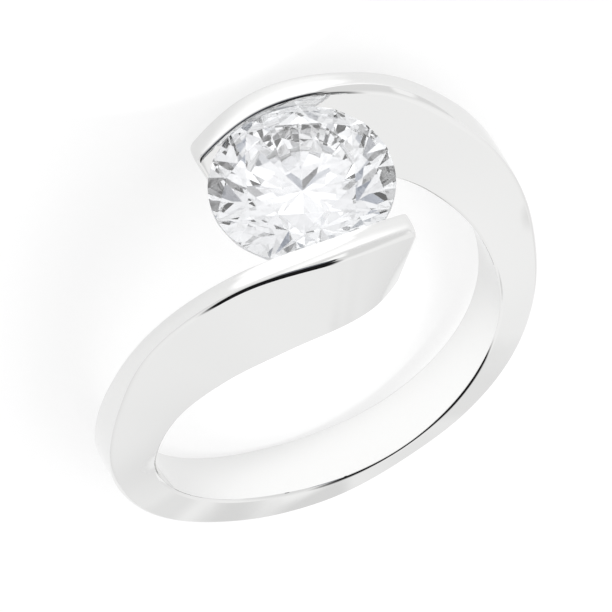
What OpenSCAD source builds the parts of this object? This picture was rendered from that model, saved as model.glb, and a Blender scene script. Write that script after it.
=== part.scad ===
// Solitaire ring: one round brilliant gripped between the two arms of a bypass band.
// The band is cast in one piece. Its shank is thin and plain under the finger, and both of
// its sides grow into tall, thin arms that pass each other on the two sides of the stone.
// Half a turn about the stone's axis brings the ring onto itself.
//
// The shapes are worked out upright, with the finger hole along Z and the stone towards +Y.
// The ring is then laid on its side on the table, the way it comes to rest by itself, with
// the stone to the front (-Y).

/* [Finger hole] */
// Diameter of the finger hole
hole_d = 16.5; // [16:0.1:17.5]

/* [Band] */
// Angle from the middle of the shank, round the finger, at which each arm is cut off
arm_end = 195; // [191:1:197]
// How far the bevel of the rim's long edges reaches down the faces
bevel = 0.2; // [0.12:0.02:0.24]
// Radius of the arm's end corner beside the finger hole
hole_corner_r = 1.4; // [0.8:0.1:1.5]
// Radius of the arm's end corner at the rim
rim_corner_r = 0.4; // [0.3:0.1:0.8]

/* [Stone] */
// Diameter of the stone at its girdle
stone_d = 7.5; // [7.2:0.05:7.7]
// Height of the girdle above the wall of the finger hole
stone_rise = 4.25; // [4.15:0.05:4.35]
// Width of the flat table on top, as a share of the diameter
table_share = 0.62; // [0.55:0.01:0.64]
// Slope of the eight kite facets round the table
crown_angle = 34.5; // [33:0.5:36]
// Slope of the eight main facets that meet at the point below
pavilion_angle = 40.8; // [40:0.2:42]
// Height of the girdle where four facets meet on it
girdle_h = 0.24; // [0.2:0.01:0.28]

/* [Seat] */
// Clearance left between the stone and its groove in each arm
seat_gap = 0.04; // [0.03:0.01:0.08]

/* [Hidden] */
$fn = 96;

// Finger hole
hole_r = hole_d / 2;
// The blank reaches this far inside the hole, so that the hole itself is cut as one cylinder
hole_stock = 0.03;
// Long enough to pass through the whole band
hole_cut_h = 20;

// The band's cross-section at every row_step degrees from the middle of the shank to an arm's
// end. Lengths in mm. "mid" is how far the middle of the face has moved sideways along the
// finger, "wide" is its width there, "deep" is the metal from the hole to the rim, and "step"
// is how much higher the rim's edge beside the stone stands than its outer edge.
row_step = 20;
HOLE_MID = 1;
RIM_MID = 2;
HOLE_WIDE = 3;
RIM_WIDE = 4;
DEEP = 5;
STEP = 6;
band_rows = [
    // angle, hole mid, rim mid, hole wide, rim wide, deep, step
    [0, 0, 0, 2.7, 2.75, 1.2, 0],
    [20, -0.15, 0.05, 2.6, 2.7, 1.15, 0.05],
    [40, -0.1, 0.05, 2.45, 2.65, 1.25, 0.1],
    [60, 0.1, 0.25, 2.3, 2.5, 1.5, 0.15],
    [80, 0.45, 0.65, 2.25, 2.3, 1.75, 0.1],
    [100, 1.15, 1.3, 1.95, 1.9, 2.25, -0.05],
    [120, 1.9, 1.65, 1.55, 1.45, 2.95, -0.05],
    [140, 2.75, 2.15, 1.3, 1.1, 4.1, -0.35],
    [160, 3.45, 3.15, 1.25, 0.95, 5.2, -0.2],
    [180, 3.7, 3.95, 1.2, 1.1, 5.1, 0.1],
    [200, 2.9, 3.3, 1.1, 0.95, 4.15, 0.2]
];
last_row = len(band_rows) - 1;

// Sections of the blank: every section_step degrees, and closer together where the ends round
section_step = 4;
end_offsets = [0, 0.15, 0.5, 1, 1.8, 2.8, 4.2, 6, 8, 10.5];
// How much of each face the rounding of an arm's end takes off
end_soft = 0.2;
// Reach of the bevels on the two sides of each corner, as shares of bevel. The corners are in
// the order of section_corners, and the sides are those before and after the corner.
bevel_shares = [[0.75, 0.5], [0.5, 0.75], [1, 0.6], [0.6, 1]];
// A bevel is slightly round: 0 would be flat, and 1 a full soft curve
bevel_bulge = 0.25;
corner_steps = 3;

// Stone
stone_r = stone_d / 2;
stone_y = hole_r + stone_rise;
table_r = stone_r * table_share;
// Eight kites and eight main facets, with a girdle facet to each side of every one
kites = 8;
kite_turn = 360 / kites;
half_turn = kite_turn / 2;
girdle_steps = 6;
girdle_points = 2 * kites * girdle_steps;
girdle_top = girdle_h / 2;
crown_top = girdle_top + (stone_r - table_r) * tan(crown_angle);
culet_z = -girdle_top - stone_r * tan(pavilion_angle);
// A star facet ends half-way from the table's edge to the girdle
star_r = (table_r * cos(half_turn) + stone_r) / 2;
star_z = girdle_top + (stone_r - star_r * cos(half_turn)) * tan(crown_angle);
// A lower girdle facet runs 77% of the way from the girdle to the point
lower_share = 0.77;
lower_r = stone_r * (1 - lower_share);
lower_z = -girdle_top - (stone_r - lower_r * cos(half_turn)) * tan(pavilion_angle);

// Smooth curve through the rows of one column. The sign says whether the column keeps (1) or
// changes (-1) its sign on the other arm.
function row_value(k, column, sign) =
    k < 0 ? sign * band_rows[-k][column]
    : k > last_row ? 2 * band_rows[last_row][column] - band_rows[last_row - 1][column]
    : band_rows[k][column];
function curve(a, b, c, d, t) =
    b + t * (c - a) / 2 + t * t * (2 * a - 5 * b + 4 * c - d) / 2
    + t * t * t * (3 * b - a - 3 * c + d) / 2;
function along_arm(angle, column, sign) =
    let (k = min(floor(angle / row_step), last_row - 1), t = angle / row_step - k)
    curve(row_value(k - 1, column, sign), row_value(k, column, sign),
        row_value(k + 1, column, sign), row_value(k + 2, column, sign), t);
// Positive angles run up the right side, whose arm passes behind the stone
function even(angle, column) = along_arm(abs(angle), column, 1);
function odd(angle, column) = (angle < 0 ? -1 : 1) * along_arm(abs(angle), column, -1);

// Depth cut from a corner of radius r at a distance x from its end
function corner(x, r) = x >= r ? 0 : r - sqrt(r * r - (r - x) * (r - x));
function arc_length(angle, r) = (arm_end - abs(angle)) * PI / 180 * r;

// The corner c, bevelled towards its neighbours a and b
function step_towards(c, a, share) = c + (a - c) / norm(a - c) * bevel * share;
function bevelled(a, c, b, shares) =
    let (p = step_towards(c, a, shares[0]),
        q = step_towards(c, b, shares[1]),
        pull = (p + q) / 2 * (1 - bevel_bulge) + c * bevel_bulge)
    [for (i = [0:corner_steps]) let (t = i / corner_steps)
        (1 - t) * (1 - t) * p + 2 * t * (1 - t) * pull + t * t * q];

// The four corners of the section, as [radius, place along the finger]
function section_corners(angle) =
    let (deep = even(angle, DEEP),
        rim_r = hole_r + deep - corner(arc_length(angle, hole_r + deep), rim_corner_r),
        low_r = hole_r - hole_stock + corner(arc_length(angle, hole_r), hole_corner_r),
        step = odd(angle, STEP) / 2,
        tuck = corner(arc_length(angle, hole_r + deep), end_soft),
        hole_mid = -odd(angle, HOLE_MID),
        rim_mid = -odd(angle, RIM_MID),
        hole_half = even(angle, HOLE_WIDE) / 2 - tuck,
        rim_half = even(angle, RIM_WIDE) / 2 - tuck)
    [
        [low_r, hole_mid - hole_half],
        [low_r, hole_mid + hole_half],
        [rim_r + step, rim_mid + rim_half],
        [rim_r - step, rim_mid - rim_half]
    ];
function section(angle) =
    let (corners = section_corners(angle))
    [for (i = [0:3])
        each bevelled(corners[(i + 3) % 4], corners[i], corners[(i + 1) % 4], bevel_shares[i])];
function place(angle, point) = [point[0] * sin(angle), -point[0] * cos(angle), point[1]];

// Angles of all sections, from the end of the left arm to the end of the right one
middle_end = floor((arm_end - end_offsets[len(end_offsets) - 1] - 1) / section_step) * section_step;
section_angles = concat(
    [for (offset = end_offsets) offset - arm_end],
    [for (angle = [-middle_end:section_step:middle_end]) angle],
    [for (i = [len(end_offsets) - 1:-1:0]) arm_end - end_offsets[i]]
);
band_rings = [for (angle = section_angles) [for (point = section(angle)) place(angle, point)]];

// The ring lies on its side on two places: the lower rim edge of the shank, and the bulge of
// the arm that passes behind the stone. It leans until both are on the table.
shank_touch = -7.5;
arm_touch = 178;
shank_point = place(shank_touch, section_corners(shank_touch)[3]);
shank_next = place(shank_touch + 1, section_corners(shank_touch + 1)[3]);
arm_point = place(arm_touch, section_corners(arm_touch)[0]);
rest_roll = atan((shank_next - shank_point).z / (shank_next - shank_point).x);
function rolled(p) = [
    p.x * cos(rest_roll) + p.z * sin(rest_roll),
    p.y,
    p.z * cos(rest_roll) - p.x * sin(rest_roll)
];
touch_line = rolled(arm_point) - rolled(shank_point);
rest_pitch = -atan(touch_line.z / touch_line.y);
function leaned(p) =
    let (q = rolled(p))
    [-q.x, q.z * sin(rest_pitch) - q.y * cos(rest_pitch), q.y * sin(rest_pitch) + q.z * cos(rest_pitch)];

// The origin is in the middle of the leaned ring, on the table
table_corners = [for (k = [0:kites - 1])
    [table_r * cos(k * kite_turn), stone_y + crown_top, table_r * sin(k * kite_turn)]];
reach = [for (p = concat([for (ring = band_rings) each ring], table_corners)) leaned(p)];
reach_x = [for (p = reach) p.x];
reach_y = [for (p = reach) p.y];
reach_z = [for (p = reach) p.z];
middle_x = (min(reach_x) + max(reach_x)) / 2;
middle_y = (min(reach_y) + max(reach_y)) / 2;

module laid_on_table() {
    translate([-middle_x, -middle_y, -min(reach_z)])
        rotate([0, 0, 180])
            rotate([rest_pitch, 0, 0])
                rotate([0, rest_roll, 0])
                    children();
}

// Skin through all rings of points, closed at both ends
module skin(rings) {
    n = len(rings[0]);
    last = len(rings) - 1;
    polyhedron(
        points = [for (ring = rings) each ring],
        faces = concat(
            [[for (j = [0:n - 1]) j]],
            [[for (j = [n - 1:-1:0]) last * n + j]],
            [for (i = [0:last - 1]) for (j = [0:n - 1])
                [i * n + j, (i + 1) * n + j, i * n + (j + 1) % n]],
            [for (i = [0:last - 1]) for (j = [0:n - 1])
                [(i + 1) * n + j, (i + 1) * n + (j + 1) % n, i * n + (j + 1) % n]]
        )
    );
}

// Groove for the stone: its outline turned round its axis and grown by the clearance
module seat_cut() {
    translate([0, stone_y, 0])
        rotate([-90, 0, 0])
            rotate_extrude()
                polygon([
                    [0, culet_z - seat_gap],
                    [lower_r + seat_gap, lower_z - seat_gap],
                    [stone_r + seat_gap, -girdle_top - seat_gap],
                    [stone_r + seat_gap, girdle_top + seat_gap],
                    [star_r + seat_gap, star_z + seat_gap],
                    [0, crown_top + seat_gap]
                ]);
}

// Heights of the wavy top and bottom of the girdle, where the facets beside it end
facet_mid = half_turn / 2;
chord = stone_r * cos(facet_mid);
crown_slope = (star_z - girdle_top) / (chord - star_r * cos(facet_mid));
pavilion_slope = (-lower_z - girdle_top) / (chord - lower_r * cos(facet_mid));
function bulge(i) = stone_r * cos((i % girdle_steps) * half_turn / girdle_steps - facet_mid) - chord;
function round_at(angle, r, z) = [r * cos(angle), r * sin(angle), z];
function girdle_angle(i) = i * 360 / girdle_points;
stone_points = concat(
    [for (k = [0:kites - 1]) round_at(k * kite_turn, table_r, crown_top)],
    [for (k = [0:kites - 1]) round_at((k + 0.5) * kite_turn, star_r, star_z)],
    [for (i = [0:girdle_points - 1])
        round_at(girdle_angle(i), stone_r, girdle_top - bulge(i) * crown_slope)],
    [for (i = [0:girdle_points - 1])
        round_at(girdle_angle(i), stone_r, bulge(i) * pavilion_slope - girdle_top)],
    [for (k = [0:kites - 1]) round_at((k + 0.5) * kite_turn, lower_r, lower_z)],
    [[0, 0, culet_z]]
);
// Where each group of points starts in that list
function table_point(k) = k % kites;
function star_point(k) = kites + (k + kites) % kites;
function upper_point(i) = 2 * kites + (i + girdle_points) % girdle_points;
function under_point(i) = upper_point(i) + girdle_points;
function lower_point(k) = 2 * kites + 2 * girdle_points + (k + kites) % kites;
culet_point = 3 * kites + 2 * girdle_points;
stone_faces = concat(
    // table
    [[for (k = [kites - 1:-1:0]) table_point(k)]],
    // stars and kites
    [for (k = [0:kites - 1]) [table_point(k), table_point(k + 1), star_point(k)]],
    [for (k = [0:kites - 1])
        [table_point(k), star_point(k), upper_point(2 * k * girdle_steps), star_point(k - 1)]],
    // upper girdle facets
    [for (k = [0:kites - 1]) for (side = [0, 1])
        concat([star_point(k)],
            [for (i = [girdle_steps:-1:0]) upper_point((2 * k + side) * girdle_steps + i)])],
    // girdle
    [for (i = [0:girdle_points - 1])
        [upper_point(i), upper_point(i + 1), under_point(i + 1), under_point(i)]],
    // lower girdle facets
    [for (k = [0:kites - 1]) for (side = [0, 1])
        concat([lower_point(k)],
            [for (i = [0:girdle_steps]) under_point((2 * k + side) * girdle_steps + i)])],
    // main facets of the pavilion
    [for (k = [0:kites - 1])
        [culet_point, lower_point(k - 1), under_point(2 * k * girdle_steps), lower_point(k)]]
);

module band() {
    color("gainsboro")
        laid_on_table()
            difference() {
                skin(band_rings);
                cylinder(r = hole_r, h = hole_cut_h, center = true);
                seat_cut();
            }
}

module stone() {
    color("azure")
        laid_on_table()
            translate([0, stone_y, 0])
                rotate([-90, 0, 0])
                    polyhedron(points = stone_points, faces = stone_faces);
}

band();
stone();
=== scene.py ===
# %% [markdown]
# # A solitaire ring with a stone held by two arms
# The ring has two pieces: a band of polished white gold, cast in one, and a round brilliant.
# The band's thin shank goes under the finger. Its two sides grow into tall arms that pass each
# other at the stone, and a groove in each arm grips the stone's edge.
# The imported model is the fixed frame. Everything below is built round it, in metres.

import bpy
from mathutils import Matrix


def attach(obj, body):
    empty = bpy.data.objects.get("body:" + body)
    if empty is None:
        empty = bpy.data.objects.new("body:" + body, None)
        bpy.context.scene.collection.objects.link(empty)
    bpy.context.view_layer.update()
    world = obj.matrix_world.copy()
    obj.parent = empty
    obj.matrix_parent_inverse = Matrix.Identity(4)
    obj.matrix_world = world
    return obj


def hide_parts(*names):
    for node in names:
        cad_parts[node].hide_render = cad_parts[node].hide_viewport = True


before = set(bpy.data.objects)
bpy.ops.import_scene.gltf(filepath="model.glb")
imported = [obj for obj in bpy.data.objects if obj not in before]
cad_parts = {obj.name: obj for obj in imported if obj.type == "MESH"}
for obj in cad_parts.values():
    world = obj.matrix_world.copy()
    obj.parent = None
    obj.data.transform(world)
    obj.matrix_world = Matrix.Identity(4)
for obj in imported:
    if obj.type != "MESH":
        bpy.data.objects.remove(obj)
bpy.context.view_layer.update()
print("pieces in the frame:", sorted(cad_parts))

# %% [markdown]
# ## Tools
# Lengths of the ring are easier to read in millimetres, so MM turns them into metres where they
# go into the scene. The helper `add` makes a shader node and fills in its values in one line.

# %% Tools used below
import math

import bmesh
import bpy
import numpy as np
from mathutils import Matrix, Vector

MM = 0.001
scene = bpy.context.scene


def new_object(name, data):
    piece = bpy.data.objects.new(name, data)
    scene.collection.objects.link(piece)
    return piece


def add(tree, kind, options=None, **values):
    """Add a shader node, set its options, and set its inputs by name."""
    new = tree.nodes.new("ShaderNode" + kind)
    for name, option in (options or {}).items():
        setattr(new, name, option)
    for name, value in values.items():
        new.inputs[name.replace("_", " ")].default_value = value
    return new


print("Blender version:", bpy.app.version_string)

# %% [markdown]
# ## Where the ring lies
# A ring is easiest to draw upright, with the finger hole along Z and the stone towards +Y.
# Laid on a table it leans a little: it touches with the lower edge of the shank and with the
# bulge of one arm. One matrix turns the upright drawing, in millimetres, into the ring as it
# lies, in metres.

# %% From the upright drawing to the table
REST_ROLL = math.radians(-1.47529)
REST_PITCH = math.radians(9.47932)
RING_MIDDLE = Vector((0, 2.19309, 2.88328))

lay_down = (
    Matrix.Scale(MM, 4)
    @ Matrix.Translation(RING_MIDDLE)
    @ Matrix.Rotation(math.pi, 4, "Z")
    @ Matrix.Rotation(REST_PITCH, 4, "X")
    @ Matrix.Rotation(REST_ROLL, 4, "Y")
)
finger_axis = (lay_down.to_3x3() @ Vector((0, 0, 1))).normalized()
stone_axis = (lay_down.to_3x3() @ Vector((0, 1, 0))).normalized()
lean = math.degrees(finger_axis.angle(Vector((0, 0, 1))))
print("the finger hole leans by", round(lean, 2), "degrees")

# %% [markdown]
# ## The camera
# Small things are photographed with a long lens, which keeps near and far parts at nearly the
# same scale. The camera looks down on the stone's side of the ring and is turned on its own
# axis, so that the ring seems to stand in the picture although it lies on the table.

# %% Set up the camera
CAMERA_PLACE = Vector((45.983, -168.068, 145.896)) * MM
CAMERA_RIGHT = Vector((-0.891345, 0.127649, 0.434982))
CAMERA_UP = Vector((-0.404848, -0.655871, -0.637128))
LENS = 320.465
SENSOR_WIDTH = 36
NEAREST_SEEN = 0.01

camera_data = bpy.data.cameras.new("camera")
camera_data.sensor_width = SENSOR_WIDTH
camera_data.lens = LENS
camera_data.clip_start = NEAREST_SEEN
camera = new_object("camera", camera_data)
camera_back = CAMERA_RIGHT.cross(CAMERA_UP).normalized()
camera_turn = Matrix((CAMERA_RIGHT, CAMERA_UP, camera_back)).transposed()
camera.matrix_world = Matrix.Translation(CAMERA_PLACE) @ camera_turn.to_4x4()
scene.camera = camera
camera_height = math.degrees(math.asin(camera_back.z))
print("the camera is", round(camera_height, 1), "degrees above the table")

# %% [markdown]
# ## The band as a table of sections
# A goldsmith would carve this band in wax and check its width and height with callipers at
# a few places round the finger. The table does the same: one row for every 20 degrees from the
# middle of the shank to the end of an arm. Each section is a four-cornered shape.
# - `hole mid` and `rim mid`: how far the section has moved sideways at the hole and at the rim
# - `hole wide` and `rim wide`: its width there
# - `deep`: height of metal from the hole to the rim
# - `step`: how much higher the rim's edge beside the stone is than the other edge
#
# Half a turn about the stone's axis brings the ring onto itself, so one table does both arms.

# %% Table of the band
HOLE_R = 16.5 / 2
ARM_END = 195
ROW_STEP = 20
COLUMNS = ("hole mid", "rim mid", "hole wide", "rim wide", "deep", "step")
BAND_ROWS = np.array([
    [0, 0, 2.7, 2.75, 1.2, 0],
    [-0.15, 0.05, 2.6, 2.7, 1.15, 0.05],
    [-0.1, 0.05, 2.45, 2.65, 1.25, 0.1],
    [0.1, 0.25, 2.3, 2.5, 1.5, 0.15],
    [0.45, 0.65, 2.25, 2.3, 1.75, 0.1],
    [1.15, 1.3, 1.95, 1.9, 2.25, -0.05],
    [1.9, 1.65, 1.55, 1.45, 2.95, -0.05],
    [2.75, 2.15, 1.3, 1.1, 4.1, -0.35],
    [3.45, 3.15, 1.25, 0.95, 5.2, -0.2],
    [3.7, 3.95, 1.2, 1.1, 5.1, 0.1],
    [2.9, 3.3, 1.1, 0.95, 4.15, 0.2],
])
SIDEWAYS = ("hole mid", "rim mid", "step")
print("rows:", len(BAND_ROWS), "and the tallest arm is", BAND_ROWS[:, 4].max(), "mm high")

# %% [markdown]
# ## A smooth curve through the rows
# Straight lines between the rows would show as kinks in the polish. A cubic curve that passes
# through every row, and takes its slope from the rows on both sides, keeps reflections flowing.
# On the other arm the sideways columns change sign.

# %% Read the table at any angle
def along_arm(angle, column):
    """Value of a column at an angle from the middle of the shank, in degrees."""
    rows = BAND_ROWS[:, COLUMNS.index(column)]
    mirror = -1 if column in SIDEWAYS else 1
    last = len(rows) - 1
    k = min(int(abs(angle) // ROW_STEP), last - 1)
    t = abs(angle) / ROW_STEP - k
    a = rows[k - 1] if k > 0 else mirror * rows[1]
    b, c = rows[k], rows[k + 1]
    d = rows[k + 2] if k + 2 <= last else 2 * rows[last] - rows[last - 1]
    value = (b + t * (c - a) / 2 + t * t * (2 * a - 5 * b + 4 * c - d) / 2
             + t ** 3 * (3 * b - a - 3 * c + d) / 2)
    return value * (mirror if angle < 0 else 1)


for angle in (0, 90, 180):
    print(angle, "degrees:", round(along_arm(angle, "deep"), 2), "mm deep")

# %% [markdown]
# ## Corners of a section
# Each section is listed as radius from the finger's axis and place along that axis. Polishing
# takes a few thousandths of a millimetre off the rim and the faces. Close to the arm's end the
# section shrinks: the corner beside the finger is rounded most, because it would press on the
# skin, the corner at the rim less, and the two faces a little. The sections start a hair inside
# the hole (`HOLE_STOCK`), and their outlines are then pushed out to its true radius.

# %% Four corners, with the arm's end rounded
HOLE_CORNER_R = 1.4
RIM_CORNER_R = 0.4
END_SOFT = 0.2
HOLE_STOCK = 0.03
POLISHED_OFF = 0.005


def corner_cut(x, r):
    """Depth that a rounded corner of radius r takes off, at a distance x from its end."""
    return 0 if x >= r else r - math.sqrt(r * r - (r - x) ** 2)


def section_corners(angle):
    to_end = math.radians(ARM_END - abs(angle))
    deep = along_arm(angle, "deep")
    rim_arc = to_end * (HOLE_R + deep)
    rim_r = HOLE_R + deep - POLISHED_OFF - corner_cut(rim_arc, RIM_CORNER_R)
    low_r = HOLE_R - HOLE_STOCK + corner_cut(to_end * HOLE_R, HOLE_CORNER_R)
    tuck = corner_cut(rim_arc, END_SOFT) + POLISHED_OFF
    step = along_arm(angle, "step") / 2
    hole_mid = -along_arm(angle, "hole mid")
    rim_mid = -along_arm(angle, "rim mid")
    hole_half = along_arm(angle, "hole wide") / 2 - tuck
    rim_half = along_arm(angle, "rim wide") / 2 - tuck
    return np.array([
        [low_r, hole_mid - hole_half],
        [low_r, hole_mid + hole_half],
        [rim_r + step, rim_mid + rim_half],
        [rim_r - step, rim_mid - rim_half],
    ])


print("corners over the stone:", section_corners(180).round(2).tolist())

# %% [markdown]
# ## Bevels and a domed rim
# Polishing wheels never leave a sharp corner. On this ring the long edges are narrow bevels,
# crisp on both sides, and they make the thin dark lines along the arms: each bevel mirrors
# another part of the room than the faces beside it. The rim itself is slightly domed.
# `BEVEL_SHARES` says how far each bevel reaches along the side before and after its corner, in
# the order of the corners above. Corner number 2, `RIM`, is the upper one at the rim.
#
# Two stretches of the rim are finished differently. On the arms its lower edge is buffed
# softer and wider (`ARM_SHARES`), so that it mirrors the strip of table beside the ring as a
# soft grey outline. On the shank its upper edge stays crisper (`SHANK_CRISP`), which leaves the
# narrow face beside it at full width. Both changes come in gradually, over a span of angles
# from the middle of the shank.

# %% Outline of one section
BEVEL = 0.2
BEVEL_SHARES = np.array([(0.75, 0.5), (0.5, 0.75), (1, 0.6), (0.6, 1)])
ARM_SHARES = np.array([(0.75, 0.5), (0.5, 0.75), (1, 0.6), (1.4, 0.45)])
ARM_SPAN = (110, 150)
SHANK_CRISP = 0.35
SHANK_SPAN = (50, 95)
BEVEL_BULGE = 0.25
BEVEL_POINTS = 7
FLAT_POINTS = (5, 9, 7, 9)
RIM_DOME = 0.03
RIM = 2


def towards(start, end, distance):
    return start + (end - start) / np.linalg.norm(end - start) * distance


def blend_in(angle, span):
    """0 before a span of angles, 1 beyond it, and evenly rising inside it."""
    return np.clip((abs(angle) - span[0]) / (span[1] - span[0]), 0, 1)


def section_outline(angle):
    corners = section_corners(angle)
    shares = BEVEL_SHARES + (ARM_SHARES - BEVEL_SHARES) * blend_in(angle, ARM_SPAN)
    shares[RIM] *= SHANK_CRISP + (1 - SHANK_CRISP) * blend_in(angle, SHANK_SPAN)
    rim_line = corners[RIM + 1] - corners[RIM]
    outwards = np.array([-rim_line[1], rim_line[0]]) / np.linalg.norm(rim_line)
    bevels = []
    for i, (before, after) in enumerate(shares):
        start = towards(corners[i], corners[i - 1], BEVEL * before)
        end = towards(corners[i], corners[(i + 1) % 4], BEVEL * after)
        if i == RIM:
            end = end - outwards * RIM_DOME
        if i == RIM + 1:
            start = start - outwards * RIM_DOME
        pull = (start + end) / 2 * (1 - BEVEL_BULGE) + corners[i] * BEVEL_BULGE
        bevels.append((start, pull, end))
    points = []
    for i, (start, pull, end) in enumerate(bevels):
        for t in np.linspace(0, 1, BEVEL_POINTS):
            points.append((1 - t) ** 2 * start + 2 * t * (1 - t) * pull + t * t * end)
        following = bevels[(i + 1) % 4][0]
        for t in np.linspace(0, 1, FLAT_POINTS[i] + 2)[1:-1]:
            rise = RIM_DOME * 4 * t * (1 - t) if i == RIM else 0
            points.append(end + (following - end) * t + outwards * rise)
    points = np.array(points)
    points[:, 0] = np.maximum(points[:, 0], HOLE_R)
    return points


print("points round a section:", len(section_outline(0)))

# %% [markdown]
# ## Skin through the sections
# The sections are stood round the finger, about one degree apart and closer at the rounded
# ends, and joined with four-sided faces. The normals have to look outwards: the volume printed
# below is positive only if they do.

# %% Skin the band
END_SPAN = 10.5
END_SECTIONS = 28
MIDDLE_SECTIONS = 370


def place(angle, outline):
    a = math.radians(angle)
    r, z = outline[:, 0], outline[:, 1]
    return np.column_stack([r * math.sin(a), -r * math.cos(a), z])


def skin(name, rings):
    count, around = rings.shape[:2]
    index = np.arange(count * around).reshape(count, around)
    faces = [index[0][::-1].tolist(), index[-1].tolist()]
    for i in range(count - 1):
        for j in range(around):
            k = (j + 1) % around
            faces.append([int(v) for v in
                          (index[i, j], index[i, k], index[i + 1, k], index[i + 1, j])])
    mesh = bpy.data.meshes.new(name)
    mesh.from_pydata(rings.reshape(-1, 3).tolist(), [], faces)
    return new_object(name, mesh)


def volume(piece):
    bm = bmesh.new()
    bm.from_mesh(piece.data)
    result = bm.calc_volume(signed=True)
    bm.free()
    return result


end_offsets = END_SPAN * np.linspace(0, 1, END_SECTIONS) ** 2
middle = np.linspace(END_SPAN - ARM_END, ARM_END - END_SPAN, MIDDLE_SECTIONS)[1:-1]
angles = np.concatenate([end_offsets - ARM_END, middle, (ARM_END - end_offsets)[::-1]])
band = skin("band_polished", np.array([place(a, section_outline(a)) for a in angles]))
print("the blank has", round(volume(band), 1), "cubic mm of gold")

# %% [markdown]
# ## The seat
# The stone is held by its edge alone. A setter cuts a groove into each arm with a burr that
# has the stone's own outline, and the arms spring shut on it. Here the burr is the stone's
# outline turned round its axis, a hair larger than the stone, and it is taken out of the band.

# %% Cut the groove for the stone
STONE_R = 7.5 / 2
STONE_HEIGHT = HOLE_R + 4.25
SEAT_GAP = 0.04
GIRDLE_HALF = 0.12
CROWN_SLOPE = math.tan(math.radians(34.5))
PAVILION_SLOPE = math.tan(math.radians(40.8))
HALF_FACET = math.cos(math.radians(22.5))
TABLE_SHARE = 0.62
LOWER_SHARE = 0.23
TURN_STEPS = 128

TABLE_R = STONE_R * TABLE_SHARE
STAR_R = (TABLE_R * HALF_FACET + STONE_R) / 2
LOWER_R = STONE_R * LOWER_SHARE
crown_top = GIRDLE_HALF + (STONE_R - TABLE_R) * CROWN_SLOPE
star_top = GIRDLE_HALF + (STONE_R - STAR_R * HALF_FACET) * CROWN_SLOPE
lower_end = -GIRDLE_HALF - (STONE_R - LOWER_R * HALF_FACET) * PAVILION_SLOPE
culet = -GIRDLE_HALF - STONE_R * PAVILION_SLOPE
SEAT_OUTLINE = [
    (0, culet - SEAT_GAP),
    (LOWER_R + SEAT_GAP, lower_end - SEAT_GAP),
    (STONE_R + SEAT_GAP, -GIRDLE_HALF - SEAT_GAP),
    (STONE_R + SEAT_GAP, GIRDLE_HALF + SEAT_GAP),
    (STAR_R + SEAT_GAP, star_top + SEAT_GAP),
    (0, crown_top + SEAT_GAP),
]


def turned(name, outline):
    """Solid of revolution about the stone's axis, from (radius, height) pairs."""
    bm = bmesh.new()
    rows = []
    for r, h in outline:
        ring = []
        for k in range(TURN_STEPS if r else 1):
            turn = 2 * math.pi * k / TURN_STEPS
            point = (r * math.sin(turn), STONE_HEIGHT + h, r * math.cos(turn))
            ring.append(bm.verts.new(point))
        rows.append(ring if r else ring * TURN_STEPS)
    for low, high in zip(rows, rows[1:]):
        for k in range(TURN_STEPS):
            n = (k + 1) % TURN_STEPS
            bm.faces.new(list(dict.fromkeys([low[k], low[n], high[n], high[k]])))
    bmesh.ops.recalc_face_normals(bm, faces=bm.faces)
    mesh = bpy.data.meshes.new(name)
    bm.to_mesh(mesh)
    bm.free()
    return new_object(name, mesh)


burr = turned("burr", SEAT_OUTLINE)
cut = band.modifiers.new("seat", "BOOLEAN")
cut.operation = "DIFFERENCE"
cut.solver = "EXACT"
cut.object = burr
bpy.context.view_layer.update()
evaluated = band.evaluated_get(bpy.context.evaluated_depsgraph_get())
band.data = bpy.data.meshes.new_from_object(evaluated)
band.modifiers.clear()
bpy.data.objects.remove(burr)
print("the band has", round(volume(band), 1), "cubic mm and", len(band.data.polygons), "faces")

# %% [markdown]
# ## Lay the band down and shade it
# The faces shade smoothly and only the creases beside the bevels stay sharp. Weighting the
# normals by area keeps the big faces truly flat in the reflections. Then the piece is tied to
# the frame, and it stands in for the plain band, which is hidden.

# %% Finish the band
CREASE = math.radians(16)

band.data.transform(lay_down)
for polygon in band.data.polygons:
    polygon.use_smooth = True
band.data.set_sharp_from_angle(angle=CREASE)
even = band.modifiers.new("even shading", "WEIGHTED_NORMAL")
even.keep_sharp = True
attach(band, "root")
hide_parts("band")
sharp = sum(edge.use_edge_sharp for edge in band.data.edges)
print("sharp edges:", sharp, "of", len(band.data.edges))

# %% [markdown]
# ## Soft clouds
# Neither the buffed gold nor the glass of the table below is quite even: both drift a little
# from place to place. The drift could be painted by hand, but noise covers any shape without a
# seam. Two materials need it, so it is a node group, built once. `Scale` is the number of
# clouds in a metre, and noise from `From` to `To` is spread out from `Low` to `High`.

# %% Node group for the clouds
def clouds_group():
    """Node group: a value that drifts from Low to High over the surface."""
    group = bpy.data.node_groups.new("soft clouds", "ShaderNodeTree")
    group.interface.new_socket("Where", in_out="INPUT", socket_type="NodeSocketVector")
    for name in ("Scale", "Detail", "From", "To", "Low", "High"):
        group.interface.new_socket(name, in_out="INPUT", socket_type="NodeSocketFloat")
    group.interface.new_socket("Drift", in_out="OUTPUT", socket_type="NodeSocketFloat")
    start = group.nodes.new("NodeGroupInput")
    end = group.nodes.new("NodeGroupOutput")
    noise = add(group, "TexNoise")
    spread = add(group, "MapRange")
    group.links.new(start.outputs["Where"], noise.inputs["Vector"])
    group.links.new(start.outputs["Scale"], noise.inputs["Scale"])
    group.links.new(start.outputs["Detail"], noise.inputs["Detail"])
    group.links.new(noise.outputs["Fac"], spread.inputs["Value"])
    for outer, inner in (("From", "From Min"), ("To", "From Max"),
                         ("Low", "To Min"), ("High", "To Max")):
        group.links.new(start.outputs[outer], spread.inputs[inner])
    group.links.new(spread.outputs["Result"], end.inputs["Drift"])
    return group


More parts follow.
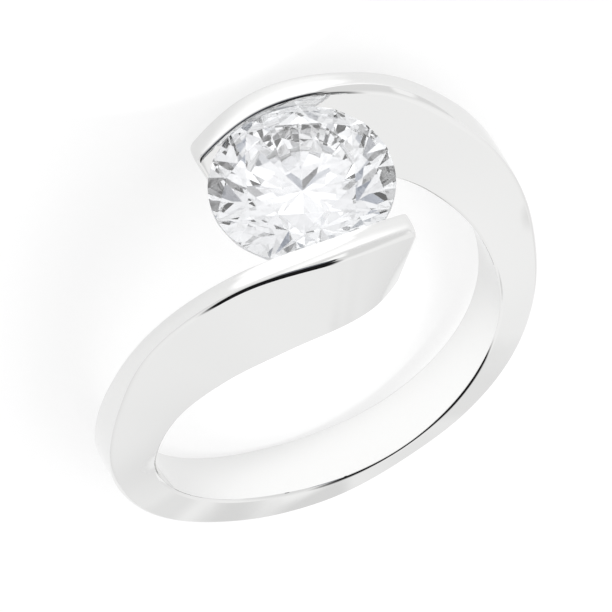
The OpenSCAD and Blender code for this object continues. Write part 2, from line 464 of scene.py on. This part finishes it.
CLOUDS = clouds_group()
print("inputs of the cloud group:", [socket.name for socket in CLOUDS.interface.items_tree])

# %% [markdown]
# ## Polished white gold
# White gold is plated with a hard white metal and buffed to a mirror. Even a good mirror
# finish is not perfect: the buff leaves shallow ripples about a millimetre across, and clouds
# where the shine is a little softer. Both come from noise at the size they have on a real ring.

# %% Metal
def new_material(name):
    material = bpy.data.materials.new(name)
    material.use_nodes = True
    return material, material.node_tree, material.node_tree.nodes["Principled BSDF"]


def paint(piece, material):
    piece.data.materials.clear()
    piece.data.materials.append(material)


WHITE_GOLD = (0.80, 0.80, 0.795, 1)
CLOUDS_PER_METRE = 400
RIPPLES_PER_METRE = 1000
RIPPLE_HEIGHT = 0.002 * MM
BRIGHTEST_POLISH, SOFTEST_POLISH = 0.03, 0.06

gold, tree, shader = new_material("polished white gold")
shader.inputs["Metallic"].default_value = 1
shader.inputs["Base Color"].default_value = WHITE_GOLD
where = add(tree, "TexCoord")
haze = add(tree, "Group", {"node_tree": CLOUDS}, Scale=CLOUDS_PER_METRE, Detail=3,
           From=0.35, To=0.65, Low=BRIGHTEST_POLISH, High=SOFTEST_POLISH)
ripples = add(tree, "TexNoise", Scale=RIPPLES_PER_METRE, Detail=2)
waves = add(tree, "Bump", Strength=1, Distance=RIPPLE_HEIGHT)
tree.links.new(where.outputs["Object"], haze.inputs["Where"])
tree.links.new(where.outputs["Object"], ripples.inputs["Vector"])
tree.links.new(haze.outputs["Drift"], shader.inputs["Roughness"])
tree.links.new(ripples.outputs["Fac"], waves.inputs["Height"])
tree.links.new(waves.outputs["Normal"], shader.inputs["Normal"])
paint(band, gold)
print("material:", gold.name)

# %% [markdown]
# ## The brilliant
# A cut stone is clear and hard, and bends light strongly: its refractive index is 2.42, where
# window glass has 1.5. Its flat facets are polished, with a hair of rounding where they meet,
# which draws the fine lines inside the stone. The girdle round its edge is left ground and
# dull. It is found by its normal, which is square to the stone's axis.

# %% Stone
NEARLY_COLOURLESS = (0.97, 0.98, 1.0, 1)
REFRACTIVE_INDEX = 2.417
GIRDLE_ROUGHNESS = 0.35
FACET_ROUNDING = 0.02 * MM

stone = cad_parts["stone"]
gem, tree, shader = new_material("colourless brilliant")
shader.inputs["Base Color"].default_value = NEARLY_COLOURLESS
shader.inputs["IOR"].default_value = REFRACTIVE_INDEX
shader.inputs["Transmission Weight"].default_value = 1
surface = add(tree, "NewGeometry")
along_axis = add(tree, "VectorMath", {"operation": "DOT_PRODUCT"})
along_axis.inputs[1].default_value = stone_axis
upright = add(tree, "Math", {"operation": "ABSOLUTE"})
ground = add(tree, "MapRange", From_Min=0.2, From_Max=0.3, To_Min=GIRDLE_ROUGHNESS, To_Max=0)
rounding = add(tree, "Bevel", Radius=FACET_ROUNDING)
tree.links.new(surface.outputs["True Normal"], along_axis.inputs[0])
tree.links.new(along_axis.outputs["Value"], upright.inputs[0])
tree.links.new(upright.outputs["Value"], ground.inputs["Value"])
tree.links.new(ground.outputs["Result"], shader.inputs["Roughness"])
tree.links.new(rounding.outputs["Normal"], shader.inputs["Normal"])
paint(stone, gem)
print("facets of the stone:", len(stone.data.polygons))

# %% [markdown]
# ## The table
# The ring lies on a light table: a sheet of opal glass that glows from below. The glow thins
# the shadow under the ring and keeps the picture's ground white. The glass is slightly cloudy,
# so its white isn't quite even, and the glow fades towards the far edge of the glass.

# %% Light table
HALF_TABLE = 3.0
OPAL = (0.4, 0.4, 0.4, 1)
GLOW = 0.65
OPAL_CLOUDS_PER_METRE = 60
DIMMEST_WHITE, BRIGHTEST_WHITE = 0.98, 1.02
FADE_FROM, FADE_TO = 0.06, 0.25
FADED_GLOW = 0.75

corners = [(-HALF_TABLE, -HALF_TABLE, 0), (HALF_TABLE, -HALF_TABLE, 0),
           (HALF_TABLE, HALF_TABLE, 0), (-HALF_TABLE, HALF_TABLE, 0)]
floor_mesh = bpy.data.meshes.new("table_top")
floor_mesh.from_pydata(corners, [], [(0, 1, 2, 3)])
floor = new_object("table_top", floor_mesh)
opal, tree, shader = new_material("opal glass")
shader.inputs["Base Color"].default_value = OPAL
shader.inputs["Roughness"].default_value = 0.9
shader.inputs["Specular IOR Level"].default_value = 0.1
shader.inputs["Emission Strength"].default_value = GLOW
where = add(tree, "TexCoord")
cloudy = add(tree, "Group", {"node_tree": CLOUDS}, Scale=OPAL_CLOUDS_PER_METRE, Detail=4,
             From=0, To=1, Low=DIMMEST_WHITE, High=BRIGHTEST_WHITE)
distance = add(tree, "VectorMath", {"operation": "LENGTH"})
fade = add(tree, "MapRange", From_Min=FADE_FROM, From_Max=FADE_TO, To_Min=1, To_Max=FADED_GLOW)
faded = add(tree, "Math", {"operation": "MULTIPLY"})
tree.links.new(where.outputs["Object"], cloudy.inputs["Where"])
tree.links.new(where.outputs["Object"], distance.inputs[0])
tree.links.new(distance.outputs["Value"], fade.inputs["Value"])
tree.links.new(cloudy.outputs["Drift"], faded.inputs[0])
tree.links.new(fade.outputs["Result"], faded.inputs[1])
tree.links.new(faded.outputs["Value"], shader.inputs["Emission Color"])
paint(floor, opal)
print("the table is", 2 * HALF_TABLE, "m wide")

# %% [markdown]
# ## The light tent
# A mirror shows only what is round it, so polished jewellery is photographed inside a tent of
# white cloth. Without anything dark in it the ring would be white on white. So the tent's top
# is left open, and its darkness draws the thin black lines where a bevel looks at it.
# Cards pinned to the cloth do the rest. They could be planes with materials of their own, but
# ovals painted in the world's shader cost nothing to render and are moved by editing a number.
# This group makes one card. A place on the tent is given by two angles from overhead, to the
# right (+X) and to the back (+Y), and each card also has two half-widths in degrees.

# %% Cards on the tent
def oval_group():
    """Node group: 1 inside an oval card on the tent and 0 outside, with a blurred edge."""
    group = bpy.data.node_groups.new("oval card", "ShaderNodeTree")
    for name in ("Direction", "Middle", "Across", "Along"):
        group.interface.new_socket(name, in_out="INPUT", socket_type="NodeSocketVector")
    group.interface.new_socket("Blur", in_out="INPUT", socket_type="NodeSocketFloat")
    group.interface.new_socket("Inside", in_out="OUTPUT", socket_type="NodeSocketFloat")
    start = group.nodes.new("NodeGroupInput")
    end = group.nodes.new("NodeGroupOutput")
    sides = []
    for name in ("Across", "Along", "Middle"):
        side = add(group, "VectorMath", {"operation": "DOT_PRODUCT"})
        group.links.new(start.outputs["Direction"], side.inputs[0])
        group.links.new(start.outputs[name], side.inputs[1])
        sides.append(side.outputs["Value"])
    flat = add(group, "CombineXYZ")
    group.links.new(sides[0], flat.inputs["X"])
    group.links.new(sides[1], flat.inputs["Y"])
    distance = add(group, "VectorMath", {"operation": "LENGTH"})
    group.links.new(flat.outputs[0], distance.inputs[0])
    inner = add(group, "Math", {"operation": "SUBTRACT"})
    inner.inputs[0].default_value = 1
    group.links.new(start.outputs["Blur"], inner.inputs[1])
    edge = add(group, "MapRange", {"interpolation_type": "SMOOTHSTEP"},
               From_Max=1, To_Min=1, To_Max=0)
    group.links.new(distance.outputs["Value"], edge.inputs["Value"])
    group.links.new(inner.outputs[0], edge.inputs["From Min"])
    facing = add(group, "Math", {"operation": "GREATER_THAN"})
    facing.inputs[1].default_value = 0
    group.links.new(sides[2], facing.inputs[0])
    inside = add(group, "Math", {"operation": "MULTIPLY"})
    group.links.new(edge.outputs["Result"], inside.inputs[0])
    group.links.new(facing.outputs[0], inside.inputs[1])
    group.links.new(inside.outputs[0], end.inputs["Inside"])
    return group


OVAL = oval_group()
print("inputs of the card group:", [socket.name for socket in OVAL.interface.items_tree])

# %% [markdown]
# ## Hang the cloth
# The cloth is brightest high up, where the lamps shine on it, and the front wall behind the
# camera is a little darker. Then the cards go on, one after the other:
# - the open top, with a flap on its front edge, for the black lines of the band
# - two pale grey cards at the back, which the side of the shank mirrors
# - a bright card beside the lens and cool dark ones round it. A brilliant sends back light
#   from the viewer's side, so these make its white flashes and its blue-black patches
# - two bright strips low on the walls
# - three thin rods, the tent's frame, which draw fine dark lines in the facets

# %% Tent
CLOTH = [(0.0, 0.9), (0.2, 0.975), (0.45, 1.035), (0.85, 1.08)]
FRONT_WALL = 0.86
FRONT_FROM, FRONT_TO = 0.3, -0.2
DARK = (0.012, 0.012, 0.013)
CARDS = [
    # name, to the right, to the back, half-widths, blur, colour
    ("open top", 20, 5, 34.5, 31.5, 0.25, DARK),
    ("flap", 0, -20, 12, 14, 0.2, DARK),
    ("flap's soft edge", 8, -28, 22, 9, 0.4, (0.2, 0.21, 0.24)),
    ("cool card", 41, -42, 12, 8, 0.4, (0.24, 0.27, 0.33)),
    ("faint back card", -21, 66.5, 9, 7, 0.6, (0.92, 0.92, 0.92)),
    ("back card", -14.5, 57, 7, 14, 0.4, (0.83, 0.83, 0.83)),
    ("lens card", 14, -55, 9, 7, 0.4, (1.6, 1.6, 1.6)),
    ("left dark card", -15, -53, 12, 11, 0.5, (0.30, 0.32, 0.36)),
    ("right dark card", 30, -62, 11, 10, 0.5, (0.28, 0.31, 0.36)),
    ("far right dark card", 60, -60, 10, 6, 0.5, (0.33, 0.35, 0.38)),
    ("low front strip", -22, -80, 30, 9, 0.5, (1.2, 1.2, 1.2)),
    ("low left strip", -84, -24, 14, 9, 0.5, (1.1, 1.1, 1.1)),
    ("left rod", -40, -55, 1.5, 28, 0.3, DARK),
    ("middle rod", -4, -60, 1.2, 26, 0.3, DARK),
    ("right rod", 48, -50, 1.5, 28, 0.3, DARK),
]

world = bpy.data.worlds.new("light tent")
world.use_nodes = True
scene.world = world
tree = world.node_tree
direction = add(tree, "TexCoord").outputs["Generated"]
parts = add(tree, "SeparateXYZ")
cloth = add(tree, "ValToRGB")
while len(cloth.color_ramp.elements) < len(CLOTH):
    cloth.color_ramp.elements.new(0.5)
for element, (height, light) in zip(cloth.color_ramp.elements, CLOTH):
    element.position = height
    element.color = (light, light, light, 1)
to_front = add(tree, "MapRange", {"interpolation_type": "SMOOTHSTEP"},
               From_Min=FRONT_FROM, From_Max=FRONT_TO)
walls = add(tree, "Mix", {"data_type": "RGBA"})
walls.inputs["B"].default_value = (FRONT_WALL, FRONT_WALL, FRONT_WALL, 1)
tree.links.new(direction, parts.inputs[0])
tree.links.new(parts.outputs["Z"], cloth.inputs["Fac"])
tree.links.new(parts.outputs["Y"], to_front.inputs["Value"])
tree.links.new(to_front.outputs["Result"], walls.inputs["Factor"])
tree.links.new(cloth.outputs["Color"], walls.inputs["A"])
light = walls.outputs["Result"]


def look_at(right, back):
    """Direction of a place on the tent, given in degrees from overhead."""
    away = math.radians(math.hypot(right, back))
    turn = math.atan2(back, right)
    flat = math.sin(away)
    return Vector((flat * math.cos(turn), flat * math.sin(turn), math.cos(away)))


for name, right, back, wide, long, blur, colour in CARDS:
    middle = look_at(right, back)
    across = Vector((0, 1, 0)).cross(middle).normalized()
    along = middle.cross(across)
    card = add(tree, "Group", {"node_tree": OVAL}, Middle=middle, Blur=blur,
               Across=across / math.sin(math.radians(wide)),
               Along=along / math.sin(math.radians(long)))
    card.label = name
    mix = add(tree, "Mix", {"data_type": "RGBA"})
    mix.inputs["B"].default_value = (*colour, 1)
    tree.links.new(direction, card.inputs["Direction"])
    tree.links.new(card.outputs["Inside"], mix.inputs["Factor"])
    tree.links.new(light, mix.inputs["A"])
    light = mix.outputs["Result"]
tree.links.new(light, tree.nodes["Background"].inputs["Color"])
print("cards on the tent:", len(CARDS))

# %% [markdown]
# ## Lamps through the cloth
# The table under a ring looks grey unless light falls on it from above, so a broad lamp shines
# down through the open top of the tent. Three narrow ones add pools of light on the glass:
# inside the ring, in front of it, and farther to the front. The pools aren't seen themselves,
# because the glass is white there already, but the rims of the arms mirror them and turn
# white. The front pool has a sharp edge a little way from the ring: the strip of glass between
# them stays grey, and the soft edges of the rims mirror it. All four lamps are hidden from
# mirrors, so they leave no glare on the metal.

# %% Lamps
def hang_lamp(name, kind, power, spot, target, **settings):
    """Hang a lamp at one place, in metres, and point it at another."""
    data = bpy.data.lights.new(name, kind)
    data.energy = power
    for setting, value in settings.items():
        setattr(data, setting, value)
    lamp = new_object(name, data)
    lamp.location = spot
    lamp.rotation_euler = (Vector(target) - Vector(spot)).to_track_quat("-Z", "Y").to_euler()
    lamp.visible_glossy = False
    lamp.visible_transmission = False


hang_lamp("top light", "SUN", 0.8, (0, 0, 0.3), (0, 0, 0), angle=math.radians(60))
hang_lamp("front pool", "SPOT", 0.7, (0, -0.024, 0.15), (0, -0.024, 0),
          spot_size=math.radians(8.9), spot_blend=0.06, shadow_soft_size=0.001)
hang_lamp("far pool", "SPOT", 2.7, (-0.032, -0.07, 0.3), (-0.032, -0.07, 0),
          spot_size=math.radians(20), spot_blend=0.8, shadow_soft_size=0.01)
hang_lamp("hole pool", "SPOT", 0.5, (-0.001, 0.005, 0.15), (-0.001, 0.005, 0),
          spot_size=math.radians(4.8), spot_blend=1, shadow_soft_size=0.001)
lamps = [piece.name for piece in scene.objects if piece.type == "LIGHT"]
print("lamps:", lamps)

# %% [markdown]
# ## Picture settings
# Light goes in and out of a brilliant many times before it reaches the eye, so the number of
# bounces is set high. The plain view transform keeps the whites white.

# %% Picture settings
STONE_BOUNCES = 24
METAL_BOUNCES = 12

scene.view_settings.view_transform = "Standard"
scene.cycles.max_bounces = STONE_BOUNCES
scene.cycles.transmission_bounces = STONE_BOUNCES
scene.cycles.glossy_bounces = METAL_BOUNCES
print("view transform:", scene.view_settings.view_transform)
